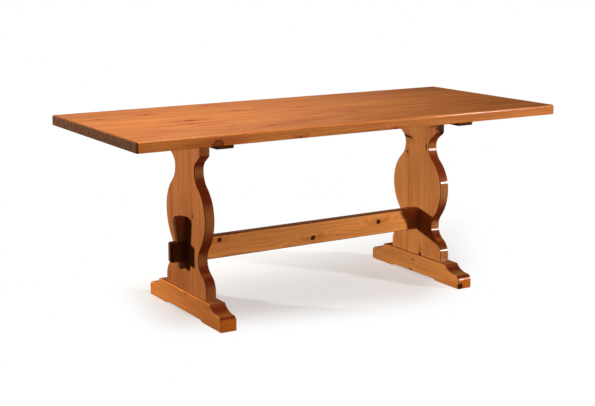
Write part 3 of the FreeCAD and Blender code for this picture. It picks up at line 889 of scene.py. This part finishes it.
@dataclass
class Trestle:
    """A trestle: a foot, a vase-shaped upright glued from three boards, and a batten under the top.

    Args:
        side: of the table.
        boards: how each of its pieces was sawn.
        finish: their stain and varnish.
        foot_flat: how far from its middle the foot's flat back ends.
        step: of the small step beyond it, across and down.
        pad: length of the pads that the foot stands on.
        relief: of the hollow between them: the run of its slopes, and its height.
        joint_line: how far from its middle the upright's boards are glued.
        base_half: half the upright's width where it stands on the foot.
        levels: of the waist's base, the waist, the belly, the neck and the collar, as shares of the height.
        turns: where the curves between these turn, as shares of the way.
        cove: where the cove above the neck ends, as shares of the way to the collar.
        batten_half: half the batten's width and length.
        mortise_half: half the mortise's width and height.
        joint_radius: rounding of the glued arrises.
        sink_radii: of a screw's countersink, below and above.
        sink_depth: of that countersink.
        sink_rise: how far its middle is above the batten's lower face.
    """

    side: Side
    boards: dict[str, Board]
    finish: VarnishedPine
    foot_half_width: float = 35.0
    foot_height: float = 90.0
    foot_half_length: float = 330.0
    foot_flat: float = 236.0
    step: Point = (8.0, 11.0)
    nose_height: float = 58.0
    nose_radius: float = 22.0
    pad: float = 160.0
    pad_arris_radius: float = 1.0
    relief: Point = (22.0, 7.0)
    joint_line: float = 62.0
    base_half: float = 184.0
    waist_half: float = 113.0
    belly_half: float = 178.0
    neck_half: float = 88.0
    head_half: float = 142.0
    levels: tuple[float, ...] = (0.05, 0.236, 0.511, 0.808, 0.91)
    turns: tuple[float, ...] = (0.53, 0.28, 0.65)
    cove: Point = (0.38, 0.625)
    collar_radius: float = 9.0
    arris_radius: float = 2.6
    batten_half: Point = (38.0, 318.0)
    batten_thickness: float = 34.0
    mortise_half: Point = (15.3, 41.3)
    joint_radius: float = 0.5
    sink_radii: Point = (7.4, 3.2)
    sink_depth: float = 4.4
    sink_rise: float = 1.2

    def build(self) -> None:
        """Build the trestle's pieces from the floor up."""
        self._finish(self._foot(), "foot")
        for place, facing in (("front", -1), ("back", 1)):
            self._finish(self._outer_board(facing), f"upright_{place}_board")
        self._finish(self._centre_board(), "upright_centre_board")
        self._finish(self._batten(), "batten")

    def _finish(self, mesh: Solid, piece: str) -> None:
        """Finish one of the trestle's pieces with its own board's figure."""
        name = f"{self.side.label}_{piece}"
        finish_piece(mesh, name, self.finish.on_board(self.boards[piece], name))

    def _around(self, half: float) -> Point:
        """Give the two places that are half a thickness from the trestle's middle plane."""
        return self.side.plane - half, self.side.plane + half

    def _foot(self) -> Solid:
        """Shape the foot: rounded noses, coves up to a small step, and a relief between its pads.

        Returns:
            The foot's mesh.
        """
        end, nose = self.foot_half_length, self.foot_half_length - self.nose_radius
        pad_edge = end - self.pad
        step_foot = (self.foot_flat + self.step[0], self.foot_height - self.step[1])
        half = [(pad_edge - self.relief[0], self.relief[1]), (pad_edge, 0.0), (end, 0.0)]
        corners = ((end, self.nose_height - self.nose_radius), (nose, self.nose_height), step_foot)
        for start, stop in zip(corners, corners[1:]):
            half += arc(start, stop, centre_across=nose, steps=10)
        half += [step_foot, (self.foot_flat, self.foot_height)]
        mesh = prism(half + [(-across, up) for across, up in reversed(half)], Axis.X,
                     *self._around(self.foot_half_width))
        lowest = self.relief[1] + CLOSE

        def under_side(at: Vector) -> bool:
            """Tell whether a place is on the lower arris of either side."""
            return at.z < lowest and abs(abs(at.x - self.side.plane) - self.foot_half_width) < CLOSE

        round_edges(mesh, self.arris_radius, lambda at: at.z > lowest)
        round_edges(mesh, self.pad_arris_radius, under_side, steps=2)
        return mesh

    def _outer_board(self, facing: int) -> Solid:
        """Shape an outer board of the upright, sawn to the vase outline on its free edge.

        Args:
            facing: -1 for the front board, 1 for the back one.

        Returns:
            The board's mesh.
        """
        rise = HEAD_LEVEL - self.foot_height
        base, waist, belly, neck, collar = (self.foot_height + share * rise for share in self.levels)
        halves = (self.base_half, self.waist_half, self.belly_half, self.neck_half)
        stations = list(zip(halves, (base, waist, belly, neck)))
        outline = [(self.joint_line, self.foot_height), (self.base_half, self.foot_height)]
        for start, end, turn in zip(stations, stations[1:], self.turns):
            outline += s_curve(start, end, turn)
        cove = (self.neck_half + self.cove[0] * (self.head_half - self.neck_half),
                neck + self.cove[1] * (collar - neck))
        outline += arc(stations[-1], cove, neck) + [cove]
        outline += [(self.head_half, collar), (self.head_half, HEAD_LEVEL), (self.joint_line, HEAD_LEVEL)]
        outline = [(facing * across, up) for across, up in outline]
        mesh = prism(outline, Axis.X, *self._around(HALF_UPRIGHT))

        def on_collar(at: Vector) -> bool:
            """Tell whether a place is on the collar's corner."""
            return abs(at.z - collar) < CLOSE and abs(at.y) > self.head_half - CLOSE

        def is_sawn(at: Vector) -> bool:
            """Tell whether a place is on the sawn edge."""
            glued = abs(at.y) < self.joint_line + CLOSE
            return not glued and self.foot_height + CLOSE < at.z < HEAD_LEVEL - CLOSE

        round_edges(mesh, self.collar_radius, on_collar, steps=5)
        round_edges(mesh, self.arris_radius, is_sawn)
        round_edges(mesh, self.joint_radius, self._is_glued, steps=1)
        return mesh

    def _is_glued(self, at: Vector) -> bool:
        """Tell whether a place is on the joint between two boards of the upright."""
        return abs(abs(at.y) - self.joint_line) < CLOSE

    def _centre_board(self) -> Solid:
        """Shape the upright's middle board, with the mortise that the stretcher's tenon goes through.

        Returns:
            The board's mesh.
        """
        (inner, outer), (across, up) = self._around(HALF_UPRIGHT), self.mortise_half
        board = block((inner, -self.joint_line, self.foot_height), (outer, self.joint_line, HEAD_LEVEL))
        hole = block((inner - OVERRUN, -across, STRETCHER_LEVEL - up),
                     (outer + OVERRUN, across, STRETCHER_LEVEL + up))
        round_edges(board, self.joint_radius, self._is_glued, steps=1)
        return combine(board, hole, Change.CUT)

    def _batten(self) -> Solid:
        """Shape the batten with the countersinks for its screws.

        Returns:
            The batten's mesh.
        """
        half_width, half_length = self.batten_half
        (inner, outer), top = self._around(half_width), HEAD_LEVEL + self.batten_thickness
        batten = block((inner, -half_length, HEAD_LEVEL), (outer, half_length, top))
        round_edges(batten, self.arris_radius, lambda at: at.z < top - CLOSE)
        sinks = bmesh.new()
        lower, upper = self.sink_radii
        for place in (-INNER_SCREW - SCREW_PITCH, -INNER_SCREW, INNER_SCREW, INNER_SCREW + SCREW_PITCH):
            spot = Matrix.Translation((self.side.plane, place, HEAD_LEVEL + self.sink_rise))
            bmesh.ops.create_cone(sinks, cap_ends=True, segments=32, radius1=lower, radius2=upper,
                                  depth=self.sink_depth, matrix=spot)
        return combine(batten, sinks, Change.CUT)


@dataclass
class Stretcher:
    """The stretcher, whose slotted tenons go through both uprights.

    Args:
        tenon_half: half a tenon's thickness and height.
        tenon_projection: how far it stands out of the upright.
        tenon_root: how far inside the beam a tenon's solid begins.
        slot_half: half the slot's width.
        slot_inner: from the upright's middle plane to the slot's inner wall.
        slot_walls: from that plane to its sloping outer wall, below and above the tenon.
        slot_overrun: how far below and above the tenon that is.
        board: how it was sawn.
    """

    half_thickness: float = 22.0
    half_height: float = 48.0
    arris_radius: float = 4.0
    tenon_half: Point = (15.0, 41.0)
    tenon_projection: float = 74.0
    tenon_chamfer: float = 6.0
    tenon_arris_radius: float = 0.8
    tenon_root: float = 40.0
    slot_half: float = 11.3
    slot_inner: float = 16.0
    slot_walls: Point = (53.8, 63.6)
    slot_overrun: float = 4.0
    # Painted light and shade on the stretcher: it is drawn lighter toward the right where its lamp is nearer,
    # darker on its upper and lower faces and arrises under the top, and dark on its tenons beyond the
    # uprights.
    board: Board = Board(Axis.X, (130, 200), (
        Knot((-457, -22, 290), (0.5, 1, 0.1), 9), Knot((1, -22, 241), (0.4, 1, 0), 10),
        Knot((347, -22, 271), (0.3, 1, 0.2), 10),
    ), seed=41.0, tone=1.2, redness=-0.2, fading=0.27, sawn=Axis.Z, faces=Axis.Y, arrises=((Axis.Z, 0.3),),
        end_tone=0.45, slant_tone=0.4, knot_tone=0.3, painted_shade_from=605.0)

    def build(self) -> None:
        """Build the beam with its tenons and cut their slots."""
        shoulder = TRESTLES_HALF_SPACING - HALF_UPRIGHT
        beam = block((TRESTLES_MIDDLE - shoulder, -self.half_thickness, STRETCHER_LEVEL - self.half_height),
                     (TRESTLES_MIDDLE + shoulder, self.half_thickness, STRETCHER_LEVEL + self.half_height))
        round_edges(beam, self.arris_radius, lambda at: abs(at.x - TRESTLES_MIDDLE) < CLOSE, steps=4)
        thick, high = self.tenon_half
        for side in Side:
            root = TRESTLES_MIDDLE + side.value * (shoulder - self.tenon_root)
            tip = side.plane + side.value * (HALF_UPRIGHT + self.tenon_projection)
            tenon = block((min(root, tip), -thick, STRETCHER_LEVEL - high),
                          (max(root, tip), thick, STRETCHER_LEVEL + high))
            round_edges(tenon, self.tenon_chamfer, lambda at: abs(at.x - tip) < CLOSE, steps=1)
            chamfered = self.tenon_chamfer + CLOSE
            round_edges(tenon, self.tenon_arris_radius, lambda at: abs(at.x - tip) < chamfered, steps=2)
            beam = combine(beam, tenon, Change.JOIN)
            beam = combine(beam, self._slot(side), Change.CUT)
        finish_piece(beam, "stretcher", RAIL_FINISH.on_board(self.board, "stretcher"))

    def _slot(self, side: Side) -> Solid:
        """Shape the wood that a slot takes out, with its outer wall on the wedge's slope.

        Args:
            side: of the table.

        Returns:
            The slot's solid.
        """
        rise = self.tenon_half[1] + self.slot_overrun
        low, high = STRETCHER_LEVEL - rise, STRETCHER_LEVEL + rise
        (lower, upper), inner = self.slot_walls, self.slot_inner
        walls = [(inner, low), (lower, low), (upper, high), (inner, high)]
        return prism([(side.plane + side.value * wall, up) for wall, up in walls], Axis.Y,
                     -self.slot_half, self.slot_half)


@dataclass
class Wedge:
    """A tapered wedge that stands in a tenon's slot and draws the joint tight.

    Args:
        side: of the table.
        back: from the upright's middle plane to the wedge's upright back.
        bottom: the level of its lower end.
        heart: where its log's heart ran, from that plane and from the table's middle.
    """

    side: Side
    back: float = 22.3
    bottom: float = 187.0
    length: float = 220.0
    tip_width: float = 28.0
    butt_width: float = 52.0
    half_thickness: float = 11.0
    butt_radius: float = 16.0
    arris_radius: float = 1.2
    heart: Point = (60.0, 90.0)

    def build(self) -> None:
        """Build the wedge with its rounded butt."""
        top = self.bottom + self.length
        walls = [(self.back, self.bottom), (self.back + self.tip_width, self.bottom),
                 (self.back + self.butt_width, top), (self.back, top)]
        mesh = prism([(self.side.plane + self.side.value * wall, up) for wall, up in walls], Axis.Y,
                     -self.half_thickness, self.half_thickness)
        round_edges(mesh, self.butt_radius, lambda at: at.z > top - CLOSE and abs(at.y) < CLOSE, steps=8)
        round_edges(mesh, self.arris_radius, lambda at: abs(at.y) > self.half_thickness - CLOSE)
        # The wedge's faces along X take the finish's dark side tone: painted shade.
        board = Board(Axis.Z, (self.side.plane + self.heart[0], self.heart[1]), seed=31.0 + self.side.value,
                      tone=1.45, sawn=Axis.X)
        name = f"{self.side.label}_wedge"
        finish_piece(mesh, name, WEDGE_FINISH.on_board(board, name), f"{name}_body")


@dataclass
class BattenScrews:
    """The countersunk screws that hold one batten to the top, made by a tree of geometry nodes.

    Args:
        side: of the table.
        recess_width: of each slot of the crossed recess in a head.
        recess_span: length of those slots.
    """

    side: Side
    length: float = 58.0
    shank_diameter: float = 6.0
    head_diameter: float = 12.0
    recess_width: float = 1.8
    recess_span: float = 6.4
    recess_depth: float = 2.4

    def build(self, material: bpy.types.Material) -> None:
        """Run the tree on an empty mesh and keep what it makes as a plain piece.

        Args:
            material: the screws' finish.
        """
        name = f"{self.side.label}_batten_screws"
        sizes = {
            "Plane": self.side.plane, "Level": HEAD_LEVEL, "Length": self.length,
            "Shank Radius": self.shank_diameter / 2, "Head Radius": self.head_diameter / 2,
            "Inner Place": INNER_SCREW, "Pitch": SCREW_PITCH, "Recess Width": self.recess_width,
            "Recess Span": self.recess_span, "Recess Depth": self.recess_depth,
        }
        values = {size: value * MM for size, value in sizes.items()} | {"Finish": material}
        screws = new_object(f"{name}_dressed", bpy.data.meshes.new(name))
        maker = screws.modifiers.new("screws", "NODES")
        maker.node_group = self._tree(list(sizes))
        for item in maker.node_group.interface.items_tree:
            if item.name in values:
                maker[item.identifier] = values[item.name]
        made = after_modifiers(screws)
        screws.modifiers.remove(maker)
        screws.data = made
        declare(screws, name)

    @staticmethod
    def _tree(sizes: Sequence[str]) -> bpy.types.NodeTree:
        """Build the tree: a shank, a countersunk head and a crossed recess, set four times along the batten.

        Args:
            sizes: the names of its inputs for sizes.

        Returns:
            The tree, with a named input for each size and for the finish.
        """
        tree = bpy.data.node_groups.new("row_of_countersunk_screws", "GeometryNodeTree")
        for size in sizes:
            tree.interface.new_socket(size, in_out="INPUT", socket_type="NodeSocketFloat")
        tree.interface.new_socket("Finish", in_out="INPUT", socket_type="NodeSocketMaterial")
        tree.interface.new_socket("Geometry", in_out="OUTPUT", socket_type="NodeSocketGeometry")
        add = partial(add_node, tree)
        size = add("NodeGroupInput").node.outputs
        rise = add("Math.SUBTRACT", (size["Head Radius"], size["Shank Radius"]))
        shank = add("Math.SUBTRACT", (size["Length"], rise))
        head, shank = (add("GeometryNodeMeshCone", {
            "Vertices": 32, "Radius Top": size["Shank Radius"], "Radius Bottom": size[radius], "Depth": depth,
        }, "Mesh") for radius, depth in (("Head Radius", rise), ("Shank Radius", shank)))
        above = add("CombineXYZ", (None, None, rise))
        shank = add("GeometryNodeTransform", {"Geometry": shank, "Translation": above})
        solid = add("GeometryNodeJoinGeometry", ([head, shank],))
        depth = add("Math.MULTIPLY", (size["Recess Depth"], 2.0))
        slots = []
        for span, width in (("Recess Span", "Recess Width"), ("Recess Width", "Recess Span")):
            slot = add("CombineXYZ", (size[span], size[width], depth))
            slots.append(add("GeometryNodeMeshCube", {"Size": slot}, "Mesh"))
        recess = add("GeometryNodeJoinGeometry", (slots,))
        screw = add("GeometryNodeMeshBoolean.DIFFERENCE", {"Mesh 1": solid, "Mesh 2": recess}, "Mesh")
        rows = []
        for side in Side:
            start = add("Math.MULTIPLY", (size["Inner Place"], float(side.value)))
            step = add("Math.MULTIPLY", (size["Pitch"], float(side.value)))
            first = add("CombineXYZ", (size["Plane"], start, size["Level"]))
            offset = add("CombineXYZ", (None, step))
            inputs = {"Count": 2, "Start Location": first, "Offset": offset}
            rows.append(add("GeometryNodeMeshLine", inputs, "Mesh"))
        places = add("GeometryNodeJoinGeometry", (rows,))
        placed = add("GeometryNodeInstanceOnPoints", {"Points": places, "Instance": screw})
        real = add("GeometryNodeRealizeInstances", (placed,))
        done = add("GeometryNodeSetMaterial", {"Geometry": real, "Material": size["Finish"]})
        add("NodeGroupOutput", (done,))
        return tree


@dataclass(frozen=True)
class Panel:
    """A rectangular light that the camera doesn't see.

    Args:
        name: of the light.
        at: its place.
        towards: the point that it faces.
        size: its width and height.
        power: in watts.
        turn: how far it is turned about its own axis, in radians.
    """

    name: str
    at: Place
    towards: Place
    size: Point
    power: float
    turn: float = 0.0

    def hang(self) -> None:
        """Hang the light and aim it."""
        data = bpy.data.lights.new(self.name, "AREA")
        data.shape = "RECTANGLE"
        data.size, data.size_y = self.size[0] * MM, self.size[1] * MM
        data.energy = self.power
        light = new_object(self.name, data)
        light.location = Vector(self.at) * MM
        aim = (Vector(self.towards) - Vector(self.at)).to_track_quat("-Z", "Y")
        light.rotation_euler = (aim @ Quaternion((0.0, 0.0, 1.0), self.turn)).to_euler()
        light.visible_camera = False


@dataclass
class Studio:
    """The floor, the lights and the camera.

    Args:
        camera_at: the camera's place.
        yaw: turn of its line of sight from +Y towards +X, in radians.
        pitch: its tilt downwards, in radians.
        roll: its roll, in radians.
        image_width: of the picture, in pixels.
        focal_length: in the same pixels.
        shift: how far the frame is shifted upwards, in the same pixels.
        sensor_width: of the camera.
        sight: how far the camera sees.
        panels: the lights.
        floor_size: length of the floor's sides.
        floor_drop: how far the floor is below zero, so that the feet don't lie in it.
        floor_glow: how strongly the floor glows under the table.
        shaded_sides: for each side of the floor's shaded part, the way to it and how far, in metres, the
            shade begins to fade and ends.
        sky_height: between these heights the sky goes from its low light to its high one.
        sky_light: the two lights.
        window_way: the way to the pale window in the sky.
        window_edge: between these nearnesses to that way the window's light rises.
        window_light: what the window adds to the sky.
    """

    camera_at: Place = (-2736.7, -4405.4, 1482.0)
    yaw: float = 0.54545
    pitch: float = 0.14741
    roll: float = -0.00268
    image_width: float = 595.0
    focal_length: float = 1218.22
    shift: float = -73.0
    sensor_width: float = 36.0
    sight: float = 200000.0
    panels: tuple[Panel, ...] = (
        Panel("key_back_left", (-3600, 2900, 1005), (-200, 0, 400), (200, 200), 166),
        Panel("strip_front_right", (4230, -4788, 1380), (200, -100, 400), (560, 190), 320),
        Panel("soft_box_above", (-730, 20, 2200), (-730, 20, 0), (3000, 400), 38.5, turn=0.72),
    )
    floor_size: float = 90000.0
    floor_drop: float = 0.5
    floor_glow: float = 0.46
    shaded_sides: tuple[tuple[Place, float, float], ...] = (
        ((-1.0, 0.19, 0.0), 0.62, 0.86), ((-0.23, -1.0, 0.0), 0.12, 0.54), ((0.61, -0.79, 0.0), 0.40, 0.76),
        ((1.0, -0.76, 0.0), 0.58, 1.04), ((0.0, 1.0, 0.0), 0.5, 1.0))
    sky_height: Point = (0.1, 0.9)
    sky_light: Point = (0.04, 0.09)
    window_way: Place = (0.42, 0.90, 0.13)
    window_edge: Point = (0.97, 0.998)
    window_light: float = 0.13

    def build(self) -> None:
        """Set up the whole studio."""
        self._floor()
        self._sky()
        for panel in self.panels:
            panel.hang()
        self._camera()
        bpy.context.scene.view_settings.view_transform = "Standard"
        log.info("studio: floor, sky, %d lights and the camera", len(self.panels))

    def _floor(self) -> None:
        """Lay a matt white floor that glows like a light table, least under the table.

        What the camera sees of it glows and takes shadows; to the table it is almost black, as a floor is
        that has been masked off, so that it fills no shadow on the wood.
        """
        mesh = bmesh.new()
        bmesh.ops.create_grid(mesh, x_segments=8, y_segments=8, size=self.floor_size / 2 * MM)
        floor = new_object("floor", mesh_data(mesh, "floor"))
        floor.location.z = -self.floor_drop * MM
        material = bpy.data.materials.new("white_light_table")
        add = start_tree(material)
        place = add("TexCoord", output="Object")
        inside = 1.0
        for way, first, last in self.shaded_sides:
            far = add("VectorMath.DOT_PRODUCT", (place, way), "Value")
            near = add("MapRange", (far, first, last, 1.0, 0.0), **SMOOTH)
            inside = add("Math.MULTIPLY", (near, inside))
        glow = add("Emission", {"Color": srgb("#FBF9F6"), "Strength": self.floor_glow})
        matt, masked = (add("BsdfDiffuse", {"Color": srgb(code)}) for code in ("#E4E3E1", "#3C3B3A"))
        white = add("Emission", {"Color": srgb("#FFFFFF"), "Strength": 1.0})
        shown = add("MixShader", (inside, white, add("AddShader", (glow, matt))))
        seen = add("LightPath", output="Is Camera Ray")
        add("OutputMaterial", (add("MixShader", (seen, masked, shown)),))
        floor.data.materials.append(material)

    def _sky(self) -> None:
        """Light the studio from a dim dome with one pale window far behind the table's left end."""
        world = bpy.data.worlds.new("studio_dome")
        bpy.context.scene.world = world
        add = start_tree(world)
        way = add("TexCoord", output="Generated")
        height = add("SeparateXYZ", (way,), "Z")
        light = add("MapRange", (height, *self.sky_height, *self.sky_light))
        window = tuple(Vector(self.window_way).normalized())
        facing = add("VectorMath.DOT_PRODUCT", (way, window), "Value")
        pane = add("MapRange", (facing, *self.window_edge, 0.0, self.window_light), **SMOOTH)
        light = add("Math.ADD", (light, pane))
        seen = add("LightPath", output="Is Camera Ray")
        strength = add("Mix", {"Factor": seen, "A": light, "B": 1.0})
        dome = add("Background", {"Color": srgb("#FFFFFF"), "Strength": strength})
        add("OutputWorld", (dome,))

    def _camera(self) -> None:
        """Set the camera at the photograph's angle."""
        data = bpy.data.cameras.new("camera")
        data.sensor_width = self.sensor_width
        data.lens = self.focal_length / self.image_width * self.sensor_width
        data.shift_y = self.shift / self.image_width
        data.clip_end = self.sight * MM
        level = math.cos(self.pitch)
        forward = Vector((math.sin(self.yaw) * level, math.cos(self.yaw) * level, -math.sin(self.pitch)))
        right = Vector((math.cos(self.yaw), -math.sin(self.yaw), 0.0))
        up = right.cross(forward)
        turned_right = math.cos(self.roll) * right + math.sin(self.roll) * up
        turned_up = math.cos(self.roll) * up - math.sin(self.roll) * right
        rotation = Matrix((turned_right, turned_up, -forward)).transposed()
        camera = new_object("camera", data)
        camera.matrix_world = Matrix.Translation(Vector(self.camera_at) * MM) @ rotation.to_4x4()
        bpy.context.scene.camera = camera


def trestle_boards(side: Side) -> dict[str, Board]:
    """Say how the boards of one trestle were sawn.

    Args:
        side: of the table.

    Returns:
        A board for each of the trestle's pieces.
    """
    # The outer boards' arrises between their broad faces and sawn edges take the default dark line: painted
    # shade.
    vase = {"sawn": Axis.Y, "faces": Axis.X}
    if side is Side.LEFT:
        return {
            # The foot is drawn lighter toward the back (painted light), with dark arrises at its ends
            # (painted shade) and light upper arrises (painted highlight).
            "foot": Board(
                Axis.Y, (-740, 70), (Knot((-615, -20, 82), (1, 0.3, 0), 4),), seed=11.0, tone=1.11,
                fading=0.45, faces=Axis.X, arrises=((Axis.Y, 0.12), (Axis.Z, 2.3)), slant_tone=1.5),
            "upright_front_board": Board(
                Axis.Z, (-470, -150), (Knot((-602, -66, 416), (1, 0.1, 0), 7),), seed=12.0, tone=0.82,
                fading=0.4, knot_tone=0.5, **vase),
            "upright_centre_board": Board(Axis.Z, (-450, 25), seed=13.0, tone=0.8, fading=0.4),
            "upright_back_board": Board(
                Axis.Z, (-740, 90), seed=14.0, tone=0.77, redness=0.35, fading=0.4, **vase),
            # The batten is drawn almost black: painted shade under the top.
            "batten": Board(Axis.Y, (-500, 640), seed=15.0, tone=0.2, end_tone=0.15),
        }
    # The right trestle's boards are lighter than the left's partly as a yellower wood and partly as painted
    # light, making up for the key light that falls off toward the right.
    return {
        # The foot is drawn lighter toward the front (painted light), with dark arrises at its ends (painted
        # shade) and lighter upper arrises (painted highlight).
        "foot": Board(
            Axis.Y, (700, 120), (
                Knot((561, 22, 13), (1, 0.2, 0), 4), Knot((561, 5, 61), (1, 0, 0), 3),
                Knot((572, -330, 12), (0.3, 1, 0), 12),
            ), seed=21.0, tone=1.33, redness=0.0, fading=-0.6, sawn=Axis.Z, faces=Axis.X,
            arrises=((Axis.Y, 0.12), (Axis.Z, 1.15)), knot_tone=0.35),
        "upright_front_board": Board(
            Axis.Z, (730, -110), (
                # The 44 mm knot on the head's sawn edge is painted shade: it darkens the edge where the top's
                # shadow falls.
                Knot((574, -70, 600), (0.3, 0.1, 1), 4), Knot((628, -150, 697), (0, 1, 0), 44),
            ), seed=22.0, tone=1.18, redness=0.0, knot_tone=0.35, **vase),
        "upright_centre_board": Board(
            Axis.Z, (420, -20), (Knot((574, -31, 96), (1, 0, 0), 7), Knot((574, 54, 627), (0.2, 1, 0.1), 4)),
            seed=23.0, tone=1.36, redness=0.0, fading=-0.3, knot_tone=0.4),
        "upright_back_board": Board(
            Axis.Z, (720, 130), (
                Knot((574, 78, 630), (0.1, 1, 0.1), 5), Knot((574, 71, 556), (0.5, 0.8, 0.25), 4),
            ), seed=24.0, tone=1.2, redness=0.1, knot_tone=0.3, **vase),
        # The batten is drawn almost black: painted shade under the top.
        "batten": Board(Axis.Y, (700, 640), seed=25.0, tone=0.2, end_tone=0.15),
    }


def main() -> None:
    """Build the table piece by piece and set up the studio."""
    logging.basicConfig(level=logging.INFO, format="%(name)s: %(message)s")
    TableTop().build()
    steel = ZincPlatedSteel().material()
    for side in Side:
        Trestle(side, trestle_boards(side), AMBER_FINISH if side is Side.LEFT else STRAW_FINISH).build()
        BattenScrews(side).build(steel)
        Wedge(side).build()
    Stretcher().build()
    Studio().build()


if __name__ == "__main__":
    main()
